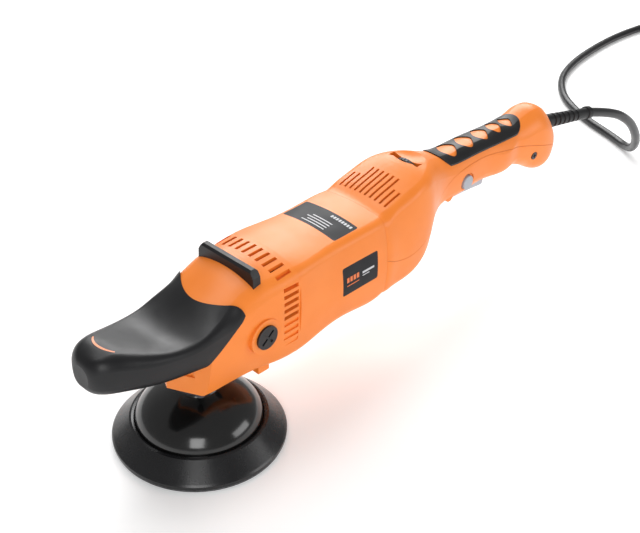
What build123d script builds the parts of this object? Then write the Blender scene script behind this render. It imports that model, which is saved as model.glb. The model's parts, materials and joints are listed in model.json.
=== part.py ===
"""Rotary polisher: +X runs back along the handle, +Z up the spindle, origin on the pad face."""

import os
from math import atan, cos, degrees, pi, radians, sin, tan

from build123d import *

os.makedirs("parts", exist_ok=True)

# Backing plate, mm
PLATE_RADIUS = 62.5
RIDGE_RADIUS = 48.0
RIDGE_TOP = 18.7
PAD_TOP = 8.0  # underside of the hard dome
HOOK_THICK = 1.6
CENTRING_RADIUS = 8.0
NECK_RADIUS = 14.5
NECK_TOP = 49.5

# Machine
MOTOR_AXIS = 94.0  # height of the armature above the pad face
HEAD_BOTTOM = 56.0
SEAM_FRONT = 64.0  # gear housing to motor housing
SEAM_REAR = 154.0  # motor housing to rear shells
WALL = 3.0
HANDLE_END = 401.5
GAP = 0.35  # between pieces that move past each other

# Bevel gears: the cones meet where the spindle and armature axes cross
CROWN_TEETH = 36
PINION_TEETH = 9
PITCH_ANGLE = degrees(atan(PINION_TEETH / CROWN_TEETH))
CROWN_RADIUS = 19.5
TOOTH_INNER = 13.0  # cone distance where the teeth start
TOOTH_OUTER = 19.4

# Shafts and bearings
SPINDLE_RADIUS = 6.0
THREAD_RADIUS = 7.0
SPINDLE_SEAT = 7.5
ARMATURE_RADIUS = 4.0
CORE_RADIUS = 20.3
SLOTS = 12
RUNNING = 0.05  # radial clearance of a shaft in its bearing

# Trigger, lock button, speed dial
TRIGGER_PIVOT = (251.0, 101.0)
LOCK_X, LOCK_Z, LOCK_RADIUS = 271.0, 107.0, 6.0
DIAL_X, DIAL_Z, DIAL_RADIUS = 212.5, 127.5, 15.0
PLUG_X, PLUG_Z, PLUG_RADIUS = 31.5, 88.2, 9.0
LOCK_HOLE_Z = 83.0  # height of the spindle lock's pin
DOME_RADIUS = 23.5  # gear head in front
TOWER_RADIUS = 11.5
CORNER_SCREWS = [(y, MOTOR_AXIS + z) for y in (-27.5, 27.5) for z in (-27.5, 24.5)]
BOX_SCREW_TURNS = (55, 125, 235, 305)

# Mains lead
CORD_RADIUS = 4.25
BOOT_START = (396.0, 0.0, 110.8)
BOOT_END = (461.5, -8.0, 101.5)
COIL_CENTRE = (962.0, 118.0)
COIL_INNER, COIL_OUTER, COIL_HEIGHT = 34.5, 60.0, 25.5

# Housing sections: x, crease half width, crease height, crown height, widest half width,
# low half width, low height, crease radius, low radius
HEAD_SECTIONS = [
    (-30, 27.0, 97.0, 98.5, 27.5, 24.0, HEAD_BOTTOM, 6, 2),
    (-12, 30.8, 106.0, 110.0, 30.2, 25.6, HEAD_BOTTOM, 5, 2),
    (0, 32.3, 110.2, 117.5, 31.7, 26.3, HEAD_BOTTOM, 6, 2),
    (8, 33.0, 114.0, 121.8, 32.8, 26.8, HEAD_BOTTOM, 8, 2.5),
    (16, 33.3, 117.8, 125.8, 33.8, 27.4, HEAD_BOTTOM, 9, 3),
    (31, 33.5, 122.8, 130.0, 35.4, 29.0, 55.6, 8, 4),
    (46, 34.8, 124.0, 131.0, 36.8, 32.0, 54.2, 7, 6),
    (62, 35.2, 125.0, 131.3, 37.5, 33.0, 53.4, 6, 7),
    (80, 33.8, 125.5, 130.0, 37.4, 33.4, 55.5, 5, 8),
    (96, 31.8, 125.5, 129.3, 37.3, 33.6, 58.5, 5, 9),
    (114, 30.8, 125.6, 129.0, 37.2, 33.7, 59.5, 5, 9),
    (SEAM_REAR, 30.8, 126.3, 129.2, 37.2, 33.7, 59.5, 5, 9),
]
REAR_SECTIONS = [
    (SEAM_REAR, 30.8, 126.3, 129.2, 37.2, 33.7, 59.5, 5, 9),
    (167, 30.6, 129.6, 132.8, 37.2, 33.7, 60.0, 5, 9),
    (178, 30.6, 132.4, 136.0, 37.1, 33.6, 60.5, 5, 9),
    (190, 30.5, 135.2, 139.3, 36.8, 33.0, 61.5, 5, 10),
    (201, 29.5, 137.6, 142.3, 35.6, 31.2, 64.5, 5, 12),
    (209, 27.6, 138.8, 143.8, 33.4, 28.2, 70.0, 6, 12),
    (216, 24.6, 139.2, 144.2, 30.0, 24.2, 78.0, 7, 11),
    (223, 21.4, 138.2, 143.5, 26.4, 20.8, 86.0, 8, 10),
    (231, 18.8, 135.4, 141.2, 22.8, 18.2, 91.5, 9, 9),
    (240, 17.0, 132.2, 137.8, 20.0, 16.6, 94.0, 9, 9),
    (252, 16.0, 129.5, 134.5, 18.5, 16.0, 94.6, 9, 9),
    (276, 15.7, 128.5, 133.0, 18.1, 15.7, 94.6, 9, 9),
    (306, 15.6, 127.6, 131.8, 18.0, 15.6, 94.3, 9, 9),
    (335, 15.6, 126.5, 130.6, 18.0, 15.6, 93.4, 9, 9),
    (349, 16.0, 126.8, 131.2, 18.4, 16.0, 90.5, 9, 9),
    (360, 17.0, 128.8, 134.2, 19.6, 17.0, 85.0, 10, 10),
    (371, 17.6, 129.6, 136.0, 21.0, 17.6, 79.0, 10, 10),
    (381, 17.0, 126.8, 133.6, 21.0, 17.0, 76.5, 10, 10),
    (390, 14.6, 119.5, 126.4, 19.0, 14.6, 78.5, 9, 9),
    (397, 10.4, 110.5, 117.0, 14.6, 10.4, 84.0, 7, 7),
    (HANDLE_END, 5.2, 102.5, 107.5, 8.2, 5.2, 91.0, 4, 4),
]
NOSE_SECTIONS = [
    (-92.5, 6.0, 109.5, 110.8, 7.5, 5.0, 95.0, 3.5, 3.5),
    (-90, 11.0, 113.8, 115.4, 12.6, 9.6, 91.5, 5, 5),
    (-84.5, 15.6, 116.4, 118.6, 17.2, 13.8, 89.0, 6, 7),
    (-76, 19.4, 116.4, 119.2, 20.9, 17.2, 87.2, 7, 8),
    (-63.6, 23.4, 113.2, 115.6, 24.6, 20.9, 85.2, 7, 8),
    (-50.5, 26.5, 109.6, 110.6, 27.5, 24.0, 83.6, 6, 7),
    (-36, 29.1, 106.9, 105.8, 29.8, 26.6, 82.8, 5, 6),
    (-22, 31.2, 106.6, 106.2, 31.4, 28.8, 82.5, 5, 5),
    (-10, 32.4, 108.6, 111.6, 32.3, 30.4, 82.3, 5, 4),
    (0, 33.0, 110.8, 118.0, 33.1, 31.8, 82.2, 6, 4),
    (8, 33.6, 114.5, 122.3, 33.8, 32.4, 82.2, 8, 4),
    (18, 33.9, 119.0, 127.0, 34.6, 33.2, 82.2, 9, 4),
]

# Route of the mains lead from the boot to the coil, mm
CORD_ROUTE = [
    BOOT_END,
    (495.0, -13.5, 93.0),
    (526.5, -16.0, 74.0),
    (552.5, -12.0, 49.0),
    (575.0, -2.0, 24.5),
    (596.0, 15.5, 6.3),
    (611.5, 44.5, 4.4),
    (622.5, 78.5, 4.4),
    (638.0, 111.0, 4.4),
    (660.0, 141.0, 4.4),
    (697.0, 168.0, 4.4),
    (744.0, 183.0, 4.4),
    (797.0, 190.0, 4.4),
    (850.0, 192.0, 4.4),
    (902.0, 187.0, 4.4),
    (938.0, 173.5, 6.0),
]


def write(part, name):
    """Label one finished piece and write it."""
    part.label = name
    export_step(part, f"parts/{name}.step")


def side_width(z, shape, inset):
    """Half width of a section at height z: a parabola through crease, middle and low corner."""
    crease_y, crease_z, _, wide, low_y, low_z, _, _ = shape
    high, low = crease_z - inset, low_z + inset
    middle = (high + low) / 2
    half = (high - low) / 2
    t = (z - middle) / half
    top, mid, bottom = crease_y - inset, wide - inset, low_y - inset
    return mid + t * (top - bottom) / 2 + t * t * ((top + bottom) / 2 - mid)


def draw_section(shape, inset=0.0):
    """Closed outline of one housing section, drawn in the current BuildLine."""
    crease_y, crease_z, crown_z, _, _, low_z, crease_r, low_r = shape
    edge_y, edge_z, top_z, bottom = crease_y - inset, crease_z - inset, crown_z - inset, low_z + inset
    crease_r, low_r = max(crease_r - inset, 1.2), max(low_r - inset, 1.2)
    corner = Vector(edge_y, edge_z)
    on_top = Vector(edge_y - crease_r, top_z - (top_z - edge_z) * ((edge_y - crease_r) / edge_y) ** 2)
    on_side = Vector(side_width(edge_z - crease_r, shape, inset), edge_z - crease_r)
    foot = Vector(side_width(bottom, shape, inset), bottom)
    above = Vector(side_width(bottom + low_r, shape, inset), bottom + low_r)
    under = Vector(foot.X - low_r, bottom)
    half_up = (on_side.Y + above.Y) / 2
    waist = Vector(side_width(half_up, shape, inset), half_up)
    bend = 0.285  # how far an arc's middle lies from its corner towards the chord
    round_top = corner + ((on_top - corner) + (on_side - corner)) * bend
    round_low = foot + ((above - foot) + (under - foot)) * bend

    def flip(p):
        return Vector(-p.X, p.Y)

    ThreePointArc(flip(on_top), (0, top_z), on_top)
    ThreePointArc(on_top, round_top, on_side)
    ThreePointArc(on_side, waist, above)
    ThreePointArc(above, round_low, under)
    Line(under, flip(under))
    ThreePointArc(flip(under), flip(round_low), flip(above))
    ThreePointArc(flip(above), flip(waist), flip(on_side))
    ThreePointArc(flip(on_side), flip(round_top), flip(on_top))


def loft_through(sections, inset=0.0):
    """Solid through the sections, with every wall set in by inset."""
    with BuildPart() as made:
        for x, *shape in sections:
            with BuildSketch(Plane.YZ.offset(x)):
                with BuildLine():
                    draw_section(shape, inset)
                make_face()
        loft()
    return made.part


def slab(x0, x1, y0, y1, z0, z1):
    """Block between two corners, kept out of the current builder."""
    middle = ((x0 + x1) / 2, (y0 + y1) / 2, (z0 + z1) / 2)
    return Pos(*middle) * Box(x1 - x0, y1 - y0, z1 - z0, mode=Mode.PRIVATE)


def rod(start, direction, radius, length):
    """Cylinder from a point along a direction, kept out of the current builder."""
    place = Plane(origin=start, z_dir=direction)
    bar = Cylinder(
        radius, length, align=(Align.CENTER, Align.CENTER, Align.MIN), mode=Mode.PRIVATE
    )
    return place * bar


# Skins of the housing, used by several pieces
head_skin = loft_through(HEAD_SECTIONS)
motor_skin = loft_through(HEAD_SECTIONS[7:])
motor_inside = loft_through(HEAD_SECTIONS[7:], WALL)
label_floor = loft_through(HEAD_SECTIONS[7:], 0.8)
rear_skin = loft_through(REAR_SECTIONS)
rear_inside = loft_through(REAR_SECTIONS[:-2], 2.6)
nose_skin = loft_through(NOSE_SECTIONS)
nose_core_skin = loft_through(NOSE_SECTIONS[1:], 3.5)
nose_hollow = loft_through(NOSE_SECTIONS[2:], 6.5)

# The grip's border: a shallow U over the top and a slope down each side
with BuildPart() as grip_region:
    with BuildSketch(Plane.XY.offset(70)):
        with BuildLine():
            Spline((17, -38), (14.6, -32), (9.0, -24), (2.5, -14), (-1.0, 0), (2.5, 14), (9.0, 24),
                   (14.6, 32), (17, 38))
            Polyline((17, 38), (-110, 38), (-110, -38), (17, -38))
        make_face()
    extrude(amount=70)
    with BuildSketch(Plane.XZ.offset(-60)) as grip_side:
        with BuildLine():
            Polyline((-110, 70), (-17.5, 70), (-17.5, 82.5), (12.5, 108.5), (17, 114), (30, 140),
                     (-110, 140), (-110, 70))
        make_face()
    extrude(amount=120, mode=Mode.INTERSECT)

# ------------------------------------------------------------------ gear housing
with BuildPart() as gear_housing:
    add(head_skin)
    split(bisect_by=Plane.YZ.offset(SEAM_FRONT), keep=Keep.BOTTOM)
    # The prow: two flat faces that meet at the front
    for side in (-1, 1):
        with BuildSketch(Plane.XY.offset(40)):
            with BuildLine():
                Polyline((-27, 0), (-10.0, side * 35), (-40, side * 35), (-40, 0), (-27, 0))
            make_face()
        extrude(amount=70, mode=Mode.SUBTRACT)
    add(grip_region.part, mode=Mode.SUBTRACT)
    add(rod((0, 0, HEAD_BOTTOM + 1), (0, 0, 1), DOME_RADIUS, 38))
    add(rod((0, 0, 85), (0, 0, 1), TOWER_RADIUS, 25.5))
    for side in (-1, 1):
        add(rod((PLUG_X, side * 30, PLUG_Z), (0, side, 0), 13.4, 6.9))
        add(slab(31, 41, side * 26 - 3, side * 26 + 3, 51.5, 58))
    # Fan chamber behind the bulkhead
    with BuildSketch(Plane.YZ.offset(46)) as chamber:
        with Locations((0, MOTOR_AXIS)):
            RectangleRounded(63, 64, 12)
    extrude(amount=SEAM_FRONT - 46, mode=Mode.SUBTRACT)
    # Gear chamber, bearing seats and the armature's way through
    add(rod((0, 0, 71), (0, 0, 1), CROWN_RADIUS + 1.0, 29), mode=Mode.SUBTRACT)
    add(rod((0, 0, 50), (0, 0, 1), CROWN_RADIUS + 0.5, 21.5), mode=Mode.SUBTRACT)
    add(rod((0, 0, 98), (0, 0, 1), 9.0, 10.5), mode=Mode.SUBTRACT)
    add(rod((10, 0, MOTOR_AXIS), (1, 0, 0), 8.0, 30), mode=Mode.SUBTRACT)
    add(rod((37, 0, MOTOR_AXIS), (1, 0, 0), 14.0, 10), mode=Mode.SUBTRACT)
    for side in (-1, 1):
        add(rod((PLUG_X, side * 37.5, PLUG_Z), (0, -side, 0), 6.0, 13), mode=Mode.SUBTRACT)
    # Recess for the bearing box flange and its four screws
    with BuildSketch(Plane.XY.offset(40)):
        Circle(25.5)
        with BuildLine():
            Polyline((-25, 0), (-14.2, 22.5), (22, 22.5), (22, -22.5), (-14.2, -22.5), (-25, 0))
        make_face(mode=Mode.INTERSECT)
    extrude(amount=18.5, mode=Mode.SUBTRACT)
    for turn in BOX_SCREW_TURNS:
        at = (22.8 * cos(radians(turn)), 22.8 * sin(radians(turn)), 54)
        add(rod(at, (0, 0, 1), 1.6, 16), mode=Mode.SUBTRACT)
    # Spindle lock: a stepped hole in the far side
    add(rod((0, 45, LOCK_HOLE_Z), (0, -1, 0), 6.3, 15), mode=Mode.SUBTRACT)
    add(rod((0, 45, LOCK_HOLE_Z), (0, -1, 0), 3.3, 30), mode=Mode.SUBTRACT)
    # Outlet slots over the fan, and the framed slots on each side
    for step in range(10):
        at = -30.3 + step * 60.6 / 9
        add(slab(46.8, 59.8, at - 1.4, at + 1.4, 112, 140), mode=Mode.SUBTRACT)
    for side in (-1, 1):
        add(slab(47, 65, side * 39 - 2.4, side * 39 + 2.4, 61.5, 120.5), mode=Mode.SUBTRACT)
        for step in range(10):
            z = 65.6 + step * 5.7
            deep = 8 if step > 4 else 3.6
            add(slab(48.7, 62.3, side * 39 - deep, side * 39 + deep, z - 1.5, z + 1.5),
                mode=Mode.SUBTRACT)
    # Corner screw holes from the rear
    for y, z in CORNER_SCREWS:
        add(rod((45, y, z), (1, 0, 0), 5.0, SEAM_FRONT - 45))
        add(rod((50, y, z), (1, 0, 0), 1.8, 20), mode=Mode.SUBTRACT)
write(gear_housing.part, "gear_housing")

# ------------------------------------------------------------------ nose
with BuildPart() as nose_core:
    add(nose_core_skin)
    add(grip_region.part, mode=Mode.INTERSECT)
    add(nose_hollow, mode=Mode.SUBTRACT)
    add(gear_housing.part, mode=Mode.SUBTRACT)
    nose_core.part = Part(nose_core.part.solids().sort_by(SortBy.VOLUME)[-1].wrapped)
write(nose_core.part, "nose_core")

with BuildPart() as inlay_prism:
    with BuildSketch(Plane.XY.offset(116.2)):
        with BuildLine():
            ThreePointArc((-73.6, -11.4), (-79.0, 0), (-73.6, 11.4))
            Line((-73.6, 11.4), (-72.8, 10.8))
            ThreePointArc((-72.8, 10.8), (-77.3, 0), (-72.8, -10.8))
            Line((-72.8, -10.8), (-73.6, -11.4))
        make_face()
    extrude(amount=9)

with BuildPart() as nose_inlay:
    add(inlay_prism.part)
    add(nose_skin, mode=Mode.INTERSECT)
write(nose_inlay.part, "nose_inlay")

with BuildPart() as nose_grip:
    add(nose_skin)
    add(grip_region.part, mode=Mode.INTERSECT)
    add(nose_core_skin, mode=Mode.SUBTRACT)
    add(gear_housing.part, mode=Mode.SUBTRACT)
    add(inlay_prism.part, mode=Mode.SUBTRACT)
    nose_grip.part = Part(nose_grip.part.solids().sort_by(SortBy.VOLUME)[-1].wrapped)
write(nose_grip.part, "nose_grip")

with BuildPart() as hand_stop:
    with BuildSketch(Plane.YZ.offset(28.5)):
        with BuildLine():
            Polyline((-28.0, 120), (-27.4, 131.5), (-24, 136.8), (24, 136.8), (27.4, 131.5), (28.0, 120),
                     (-28.0, 120))
        make_face()
    extrude(amount=6.6)
    chamfer(hand_stop.edges().group_by(Axis.Z)[-1].filter_by(Axis.Y), 1.6)
    add(head_skin, mode=Mode.SUBTRACT)
write(hand_stop.part, "hand_stop")

with BuildPart() as side_plugs:
    for side in (-1, 1):
        add(rod((PLUG_X, side * 36.9, PLUG_Z), (0, side, 0), PLUG_RADIUS, 1.6))
        add(rod((PLUG_X, side * 36.9, PLUG_Z), (0, -side, 0), 5.9, 11))
    for turn in (40, 130):
        with BuildSketch(Plane.XZ.offset(37.6)):
            with Locations((PLUG_X, PLUG_Z)):
                Rectangle(13, 1.8, rotation=turn)
        extrude(amount=3, mode=Mode.SUBTRACT)
        with BuildSketch(Plane.XZ.offset(-37.6)):
            with Locations((PLUG_X, PLUG_Z)):
                Rectangle(13, 1.8, rotation=turn)
        extrude(amount=-3, mode=Mode.SUBTRACT)
write(side_plugs.part, "side_plugs")

# ------------------------------------------------------------------ bearing box and spindle
with BuildPart() as bearing_box:
    with BuildSketch(Plane.XY.offset(54.6)):
        Circle(25.3)
        with BuildLine():
            Polyline((-24.7, 0), (-14.0, 22.3), (21.8, 22.3), (21.8, -22.3), (-14.0, -22.3), (-24.7, 0))
        make_face(mode=Mode.INTERSECT)
    extrude(amount=3.9)
    add(rod((0, 0, 58), (0, 0, 1), CROWN_RADIUS + 0.4, 12.5))
    add(rod((0, 0, 51), (0, 0, 1), 16.0, 4))
    add(rod((0, 0, 60), (0, 0, 1), 16.0, 9), mode=Mode.SUBTRACT)
    add(rod((0, 0, 50), (0, 0, 1), 10.5, 30), mode=Mode.SUBTRACT)
    add(rod((0, 0, 68.9), (0, 0, 1), 14.0, 3), mode=Mode.SUBTRACT)
    for turn in BOX_SCREW_TURNS:
        at = (22.8 * cos(radians(turn)), 22.8 * sin(radians(turn)), 54)
        add(rod(at, (0, 0, 1), 1.9, 6), mode=Mode.SUBTRACT)
write(bearing_box.part, "bearing_box")

with BuildPart() as bearing_box_screws:
    for turn in BOX_SCREW_TURNS:
        x, y = 22.8 * cos(radians(turn)), 22.8 * sin(radians(turn))
        head = rod((x, y, 52.4), (0, 0, 1), 3.2, 2.2)
        add(head)
        add(rod((x, y, 54.5), (0, 0, 1), 1.6, 14))
        with BuildSketch(Plane.XY.offset(52.4)):
            with Locations((x, y)):
                RegularPolygon(1.5, 6)
        extrude(amount=1.3, mode=Mode.SUBTRACT)
write(bearing_box_screws.part, "bearing_box_screws")

with BuildPart() as spindle:
    with BuildSketch(Plane.XZ):
        with BuildLine():
            Polyline((0, 24), (THREAD_RADIUS - 0.8, 24), (THREAD_RADIUS, 25), (THREAD_RADIUS, NECK_TOP),
                     (12, NECK_TOP), (12, 50.6), (9.5, 50.6), (9.5, 59.9), (SPINDLE_SEAT, 59.9),
                     (SPINDLE_SEAT, 78), (SPINDLE_RADIUS, 78), (SPINDLE_RADIUS, 107), (5.4, 107.6),
                     (0, 107.6), (0, 24))
        make_face()
    revolve(axis=Axis.Z)
    with BuildSketch(Plane.XY.offset(24)):
        RegularPolygon(3.0, 6)
    extrude(amount=8, mode=Mode.SUBTRACT)
write(spindle.part, "spindle")

with BuildPart() as spindle_lower_bearing:
    with BuildSketch(Plane.XZ):
        with BuildLine():
            Polyline((SPINDLE_SEAT + RUNNING, 60), (16, 60), (16, 69), (SPINDLE_SEAT + RUNNING, 69),
                     (SPINDLE_SEAT + RUNNING, 60))
        make_face()
        for z in (60, 69):
            with Locations((11.8, z)):
                Rectangle(3.2, 1.2, mode=Mode.SUBTRACT)
    revolve(axis=Axis.Z)
write(spindle_lower_bearing.part, "spindle_lower_bearing")

with BuildPart() as spindle_upper_bearing:
    add(rod((0, 0, 98.2), (0, 0, 1), 9.0, 10))
    add(rod((0, 0, 98), (0, 0, 1), SPINDLE_RADIUS + RUNNING, 12), mode=Mode.SUBTRACT)
write(spindle_upper_bearing.part, "spindle_upper_bearing")


def cone_point(distance, across, height, spin):
    """Point of the crown gear's tooth: distance down the pitch cone, across it and above it."""
    slope = radians(PITCH_ANGLE)
    r = distance * cos(slope) + height * sin(slope)
    z = MOTOR_AXIS - distance * sin(slope) + height * cos(slope)
    return Vector(r, across, z).rotate(Axis.Z, spin)


with BuildPart() as crown_gear:
    slope = radians(PITCH_ANGLE)
    root = -1.2  # the root cone lies this far under the pitch cone
    with BuildSketch(Plane.XZ):
        with BuildLine():
            Polyline((SPINDLE_RADIUS, 78.2), (CROWN_RADIUS, 78.2),
                     (CROWN_RADIUS, MOTOR_AXIS - CROWN_RADIUS * tan(slope) + root),
                     (11.5, MOTOR_AXIS - 11.5 * tan(slope) + root), (SPINDLE_RADIUS, 89.3),
                     (SPINDLE_RADIUS, 78.2))
        make_face()
    revolve(axis=Axis.Z)
    for tooth in range(CROWN_TEETH):
        spin = 360 / CROWN_TEETH * tooth
        faces = []
        for distance in (TOOTH_INNER, TOOTH_OUTER):
            grow = distance / TOOTH_OUTER
            corners = [(-0.95, root - 0.3), (0.95, root - 0.3), (0.42, 0.75), (-0.42, 0.75)]
            ring = [cone_point(distance, a * grow, h * grow if h > 0 else h, spin) for a, h in corners]
            faces.append(Face(Wire.make_polygon(ring, close=True)))
        add(Solid.make_loft([face.outer_wire() for face in faces]))
    # Holes round the rim for the spindle lock's pin
    for hole in range(12):
        turn = radians(90 + 30 * hole)
        at = (15.2 * cos(turn), 15.2 * sin(turn), LOCK_HOLE_Z)
        add(rod(at, (cos(turn), sin(turn), 0), 3.3, 10), mode=Mode.SUBTRACT)
write(crown_gear.part, "crown_gear")

# ------------------------------------------------------------------ backing plate
with BuildPart() as plate_dome:
    with BuildSketch(Plane.XZ):
        with BuildLine():
            Polyline((12, 20), (12, 37.2), (25, 37.2))
            Spline((25, 37.2), (34, 33), (42, 25), (45.2, 17.2))
            Polyline((45.2, 17.2), (45.2, PAD_TOP), (41.5, PAD_TOP), (41.5, 17))
            Spline((41.5, 17), (38.5, 23), (31, 29.6), (23, 33))
            Polyline((23, 33), (18, 33), (18, 20), (12, 20))
        make_face()
    revolve(axis=Axis.Z)
write(plate_dome.part, "plate_dome")

with BuildPart() as plate_pad:
    with BuildSketch(Plane.XZ):
        with BuildLine():
            Polyline((CENTRING_RADIUS, HOOK_THICK), (61.9, HOOK_THICK), (PLATE_RADIUS, 2.4),
                     (PLATE_RADIUS, 4.9), (61.4, 6.2), (49.6, 18.0), (RIDGE_RADIUS, RIDGE_TOP),
                     (46.4, 18.2), (45.2, 16.6), (45.2, PAD_TOP), (CENTRING_RADIUS, PAD_TOP),
                     (CENTRING_RADIUS, HOOK_THICK))
        make_face()
    revolve(axis=Axis.Z)
write(plate_pad.part, "plate_pad")

with BuildPart() as hook_face:
    with BuildSketch():
        Circle(PLATE_RADIUS - 1.0)
        Circle(CENTRING_RADIUS, mode=Mode.SUBTRACT)
    extrude(amount=HOOK_THICK)
write(hook_face.part, "hook_face")

with BuildPart() as plate_insert:
    with BuildSketch(Plane.XZ):
        with BuildLine():
            Polyline((THREAD_RADIUS, 20), (12, 20), (12, 37.2), (NECK_RADIUS, 37.2),
                     (NECK_RADIUS, 48.9), (NECK_RADIUS - 0.6, NECK_TOP), (THREAD_RADIUS, NECK_TOP),
                     (THREAD_RADIUS, 20))
        make_face()
    revolve(axis=Axis.Z)
write(plate_insert.part, "plate_insert")

# ------------------------------------------------------------------ armature
with BuildPart() as armature_shaft:
    with BuildSketch(Plane.XY):
        with BuildLine():
            Polyline((19.9, 0), (19.9, 2.5), (29.2, 2.5), (29.2, 6), (46.4, 6), (46.4, ARMATURE_RADIUS),
                     (150.5, ARMATURE_RADIUS), (151, 3.5), (151, 0), (19.9, 0))
        make_face()
    revolve(axis=Axis.X)
    armature_shaft.part = Pos(0, 0, MOTOR_AXIS) * armature_shaft.part
write(armature_shaft.part, "armature_shaft")

with BuildPart() as bevel_pinion:
    add(rod((19.9, 0, 0), (1, 0, 0), 4.6, 9.3))
    slope = radians(PITCH_ANGLE)
    with BuildSketch(Plane.XY):
        with BuildLine():
            Polyline((12.8, 0), (12.8, 12.8 * tan(slope) - 1.2), (19.9, 19.9 * tan(slope) - 1.2),
                     (19.9, 0), (12.8, 0))
        make_face()
    revolve(axis=Axis.X)
    for tooth in range(PINION_TEETH):
        spin = 360 / PINION_TEETH * (tooth + 0.5) - 90
        rings = []
        for distance in (TOOTH_INNER, TOOTH_OUTER):
            grow = distance / TOOTH_OUTER
            ring = []
            for across, height in ((-0.9, -1.6), (0.9, -1.6), (0.4, 0.7), (-0.4, 0.7)):
                up = height * grow if height > 0 else height
                r = distance * sin(slope) + up * cos(slope)
                ring.append(Vector(distance * cos(slope) - up * sin(slope), r, across * grow))
            rings.append(Wire.make_polygon([p.rotate(Axis.X, spin) for p in ring], close=True))
        add(Solid.make_loft(rings))
    add(rod((19.8, 0, 0), (1, 0, 0), 2.5, 12), mode=Mode.SUBTRACT)
    bevel_pinion.part = Pos(0, 0, MOTOR_AXIS) * bevel_pinion.part
write(bevel_pinion.part, "bevel_pinion")

with BuildPart() as armature_front_bearing:
    add(rod((37.2, 0, MOTOR_AXIS), (1, 0, 0), 14.0, 8))
    add(rod((37, 0, MOTOR_AXIS), (1, 0, 0), 6 + RUNNING, 9), mode=Mode.SUBTRACT)
write(armature_front_bearing.part, "armature_front_bearing")

with BuildPart() as armature_rear_bearing:
    add(rod((142, 0, MOTOR_AXIS), (1, 0, 0), 11.0, 7))
    add(rod((141, 0, MOTOR_AXIS), (1, 0, 0), ARMATURE_RADIUS + RUNNING, 9), mode=Mode.SUBTRACT)
write(armature_rear_bearing.part, "armature_rear_bearing")

with BuildPart() as fan:
    add(rod((49, 0, MOTOR_AXIS), (1, 0, 0), 9.0, 12))
    add(rod((59.6, 0, MOTOR_AXIS), (1, 0, 0), 27.0, 1.6))
    for blade in range(14):
        spin = 360 / 14 * blade
        add(Pos(0, 0, MOTOR_AXIS) * Rot(spin, 0, 0) * Pos(54.8, 0, 17.3) * Rot(0, 0, 18)
            * Box(9.6, 1.4, 19, mode=Mode.PRIVATE))
    add(rod((40, 0, MOTOR_AXIS), (1, 0, 0), ARMATURE_RADIUS, 40), mode=Mode.SUBTRACT)
write(fan.part, "fan")

with BuildPart() as armature_core:
    add(rod((84, 0, MOTOR_AXIS), (1, 0, 0), CORE_RADIUS, 34))
    add(rod((80, 0, MOTOR_AXIS), (1, 0, 0), ARMATURE_RADIUS, 40), mode=Mode.SUBTRACT)
    for slot in range(SLOTS):
        turned = Pos(0, 0, MOTOR_AXIS) * Rot(360 / SLOTS * slot, 0, 0)
        add(turned * slab(83, 119, -2.1, 2.1, 11, 18.6), mode=Mode.SUBTRACT)
        add(turned * slab(83, 119, -0.9, 0.9, 18, 21), mode=Mode.SUBTRACT)
write(armature_core.part, "armature_core")

with BuildPart() as armature_winding:
    for x0, side in ((84, -1), (118, 1)):
        with BuildSketch(Plane.XY) as end_turns:
            with Locations((x0 + side * 3.2, 13.2)):
                RectangleRounded(6.4, 9.6, 2.6)
        revolve(axis=Axis.X)
    for slot in range(SLOTS):
        add(Rot(360 / SLOTS * slot, 0, 0) * slab(83, 119, -2.1, 2.1, 11, 18.0))
    armature_winding.part = Pos(0, 0, MOTOR_AXIS) * armature_winding.part
write(armature_winding.part, "armature_winding")

with BuildPart() as commutator:
    add(rod((126, 0, MOTOR_AXIS), (1, 0, 0), 12.5, 13))
    add(rod((124.6, 0, MOTOR_AXIS), (1, 0, 0), 14.0, 2.4))
    for bar in range(24):
        add(Pos(0, 0, MOTOR_AXIS) * Rot(15 * bar, 0, 0) * slab(127.2, 140, -0.3, 0.3, 11.6, 13),
            mode=Mode.SUBTRACT)
    add(rod((120, 0, MOTOR_AXIS), (1, 0, 0), ARMATURE_RADIUS, 40), mode=Mode.SUBTRACT)
write(commutator.part, "commutator")

# ------------------------------------------------------------------ motor housing and its inside
STATOR_RADIUS = 31.0
with BuildPart() as top_label:
    with BuildSketch(Plane.XY.offset(110)):
        with Locations((119.8, 0)):
            RectangleRounded(25, 52, 1.6)
    extrude(amount=30)
    add(motor_skin, mode=Mode.INTERSECT)
    add(label_floor, mode=Mode.SUBTRACT)
write(top_label.part, "top_label")

with BuildPart() as side_labels:
    for side in (-1, 1):
        with BuildSketch(Plane.XZ.offset(side * 30)) as label_face:
            with Locations((125, 96)):
                RectangleRounded(37, 23, 1.6)
        panel = extrude(label_face.sketch, amount=side * 20, mode=Mode.PRIVATE)
        add((panel & motor_skin) - label_floor)
write(side_labels.part, "side_labels")

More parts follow.
